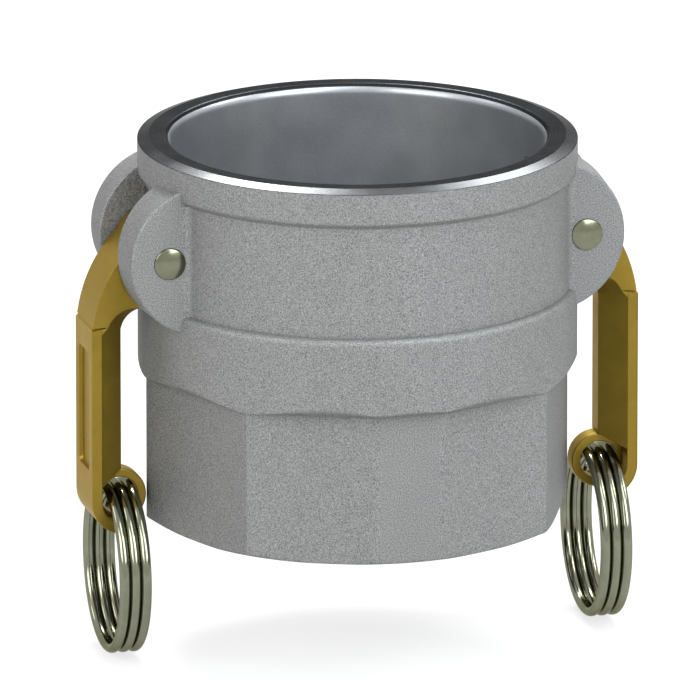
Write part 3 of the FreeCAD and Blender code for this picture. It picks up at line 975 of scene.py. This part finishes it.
# %% Brass, steel, wire and rubber
def cast_brass():
    finish = Finish("cast_brass", Metallic=0.65, Specular_Tint=(0.8, 0.65, 0.35, 1))
    cloud, grain = finish.noise(5.0, 3.0), finish.noise(0.35)
    tone = (cloud - 0.5) * 1.2 + (grain - 0.5) * 0.5 + 0.5
    finish.colour((0.18, 0.12, 0.015), (0.24, 0.162, 0.023), tone)
    finish.feed("Roughness", (cloud - 0.5) * 0.16 + 0.36)
    finish.bump(grain, 0.03)
    return finish.material


def bright_steel(name, tint, dark, light, cloud_mm, contrast, rough, rough_change):
    """Smooth steel with slow changes in brightness and roughness."""
    finish = Finish(name, Metallic=1.0, Specular_Tint=(*tint, 1))
    cloud = finish.noise(cloud_mm)
    finish.colour(dark, light, (cloud - 0.5) * contrast + 0.5)
    finish.feed("Roughness", (cloud - 0.5) * rough_change + rough)
    return finish.material


def seal_rubber():
    finish = Finish("seal_rubber", Metallic=0.0)
    cloud = finish.noise(1.5, 3.0)
    finish.colour((0.012, 0.012, 0.013), (0.03, 0.03, 0.031), cloud)
    finish.feed("Roughness", (cloud - 0.5) * 0.2 + 0.62)
    finish.bump(cloud, 0.03, 0.3)
    return finish.material


# %% Make every piece
blasted = blasted_aluminium()
# machined and faced: very dark copies of turned aluminium; the darkness is painted shade for the dark
# surroundings that chamfer, top face and mouth reflect
machined_shade = turned_aluminium("machined_aluminium", (0.05, 0.052, 0.054), (0.07, 0.072, 0.074),
                            rough=0.25, line_mm=0.25)
faced_shade = turned_aluminium("faced_aluminium", (0.027, 0.029, 0.031), (0.036, 0.039, 0.042),
                         rough=0.27, line_mm=0.3)
casting = Piece("cast_body")
add_wall(casting)
for side in (1, -1):
    for hand in (1, -1):
        add_ear(casting, side, hand)
        add_ear_root(casting, side, hand)
casting.make("coupler", [blasted, machined_shade, faced_shade, bored_aluminium()], ["body"])
brass = cast_brass()
steel = bright_steel("pin_steel", (0.6, 0.6, 0.5), (0.165, 0.17, 0.115), (0.215, 0.22, 0.155),
                     cloud_mm=2.2, contrast=1.4, rough=0.18, rough_change=0.06)
wire = bright_steel("ring_wire", (0.5, 0.5, 0.42), (0.185, 0.19, 0.137), (0.245, 0.25, 0.187),
                    cloud_mm=3.0, contrast=1.2, rough=0.14, rough_change=0.08)
for word, side in (("right", 1), ("left", -1)):
    make_lever(word, side, brass)
    make_pin(word, side, steel)
    make_ring(word, side, wire)
make_seal(seal_rubber())
make_thread(machined_shade)

# %% [markdown]
# ## Studio
# A pale floor lies under the rings. The white round the object is the world's and the floor's own
# colour, and the lamps stay at a plain level. Two small ones behind draw the bright line in the
# mouth, two broad ones in front light the wall, a weak one on each side lights a lever, and one
# high in front reaches the rim. The floor keeps a part of the object's shadow.

# %% Floor
floor_z = min(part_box("ring_right")[0].z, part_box("ring_left")[0].z) - 0.0005
floor_half, shadow_lift = 6, 0.75
mesh = bpy.data.meshes.new("floor")
signs = (-1, -1), (1, -1), (1, 1), (-1, 1)
mesh.from_pydata([(x * floor_half, y * floor_half, floor_z) for x, y in signs], [], [(0, 1, 2, 3)])
floor = bpy.data.objects.new("floor", mesh)
bpy.context.scene.collection.objects.link(floor)
paper = Finish("floor_paper", Base_Color=(0.9, 0.9, 0.9, 1), Roughness=0.9, Specular_IOR_Level=0.0)
mesh.materials.append(paper.material)


def seen_ray(tree):
    """1 for rays that show the background itself: camera, glossy and transmission rays."""
    ray = tree.nodes.new("ShaderNodeLightPath")
    seen = Field(tree, ray.outputs["Is Camera Ray"])
    for kind in ("Is Glossy Ray", "Is Transmission Ray"):
        seen = seen.math("MAXIMUM", Field(tree, ray.outputs[kind]))
    return seen


def blend_by_ray(tree, share, lit, seen, output):
    """Mixes two shaders: lit for the light on the object, and seen, by its share, for the view."""
    blend = tree.nodes.new("ShaderNodeMixShader")
    for start, end in zip((share.socket, lit, seen), blend.inputs):
        tree.links.new(start, end)
    tree.links.new(blend.outputs[0], output)


glow, end = paper.node("ShaderNodeEmission"), paper.tree.nodes["Material Output"]
blend_by_ray(paper.tree, seen_ray(paper.tree) * shadow_lift, paper.shader.outputs[0],
             glow.outputs[0], end.inputs["Surface"])

# %% World
world = bpy.data.worlds.new("studio")
bpy.context.scene.world = world
world.use_nodes = True
tree = world.node_tree
tree.nodes.clear()
output = tree.nodes.new("ShaderNodeOutputWorld")
backgrounds = []
for colour, strength in (((1.0, 0.99, 0.95, 1), 0.35), ((1, 1, 1, 1), 1.0)):
    background = tree.nodes.new("ShaderNodeBackground")
    background.inputs["Color"].default_value = colour
    background.inputs["Strength"].default_value = strength
    backgrounds.append(background.outputs[0])
blend_by_ray(tree, seen_ray(tree), *backgrounds, output.inputs[0])


# %% Lamps
VIEW_DEGREES = 14.86    # the photo's view is turned this far to the left of the front
WHITE, COOL = (1, 1, 1), (0.91, 0.96, 1.0)
middle, lamp_distance = Vector((0, 0, height * MM / 2)), 1.3


def lamp(name, turn, rise, size, power, colour):
    """A soft square lamp that looks at the middle of the body.

    turn is its bearing from the view's direction, to the right, and rise its height, in degrees.
    """
    data = bpy.data.lights.new(name, "AREA")
    data.color = colour
    data.shape, data.size, data.energy = "SQUARE", size, power
    made = bpy.data.objects.new(name, data)
    turn, rise = math.radians(turn + VIEW_DEGREES), math.radians(rise)
    flat = lamp_distance * math.cos(rise)
    made.location = flat * math.sin(turn), flat * math.cos(turn), lamp_distance * math.sin(rise)
    made.rotation_euler = (middle - made.location).to_track_quat("-Z", "Y").to_euler()
    bpy.context.scene.collection.objects.link(made)


lamp("left_behind", -12.5, 48, 0.24, 12, WHITE)
lamp("right_behind", 18, 42, 0.3, 9, WHITE)
lamp("left_front", -138, 30, 0.75, 9.5, WHITE)
lamp("right_front", 138, 33, 0.7, 12, COOL)
lamp("left_side", -85, 36, 0.4, 1.6, WHITE)
lamp("right_side", 80, 38, 0.4, 4.5, WHITE)
lamp("above_front", 150, 60, 0.6, 5, COOL)

# %% [markdown]
# ## Camera
# The view was fitted to the photo's rims and levers: a long lens nearly five metres away, a little
# to the left of the front and a little above.

# %% Camera
azimuth, elevation, distance = math.radians(VIEW_DEGREES), math.radians(15.92), 4.704
level = math.cos(elevation)
forward = Vector((math.sin(azimuth) * level, math.cos(azimuth) * level, -math.sin(elevation)))
right = Vector((math.cos(azimuth), -math.sin(azimuth), 0))
up = right.cross(forward)
target = Vector((0, 0, 0.045157)) - right * 0.001841 - up * 0.004313
camera = bpy.data.objects.new("camera", bpy.data.cameras.new("camera"))
bpy.context.scene.collection.objects.link(camera)
camera.data.lens, camera.data.sensor_width = 977.7, 36
camera.data.clip_end = 50
camera.location = target - forward * distance
camera.rotation_mode = "QUATERNION"
camera.rotation_quaternion = forward.to_track_quat("-Z", "Y")
bpy.context.scene.camera = camera
bpy.context.scene.view_settings.view_transform = "Standard"
